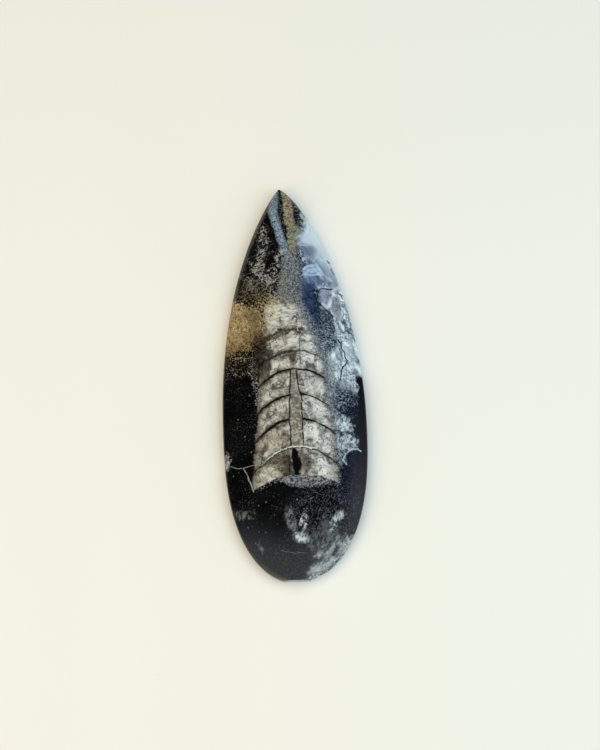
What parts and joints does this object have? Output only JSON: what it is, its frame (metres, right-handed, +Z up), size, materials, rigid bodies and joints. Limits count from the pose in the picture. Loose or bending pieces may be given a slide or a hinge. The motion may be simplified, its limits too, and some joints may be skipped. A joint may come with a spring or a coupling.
{
  "type": "orthoceras fossil",
  "caption": "Teardrop stone of polished black limestone with a chambered orthoceras fossil showing in its domed face; lies flat on its back as a display piece or cabochon.",
  "frame": {"origin": "centre of the box round the stone, on the surface it lies on", "axes": "+Y along the stone from its broad foot to its tip, +Z up out of the domed face, +X to the right seen from above with the tip away from the viewer"},
  "size_m": [0.0198, 0.055, 0.0055],
  "materials": {
    "black_limestone": "polished, black with a grey-white calcite fossil and pale calcite patches"
  },
  "bodies": {
    "root": {"orthoceras_stone": "black_limestone"}
  },
  "joints": []
}
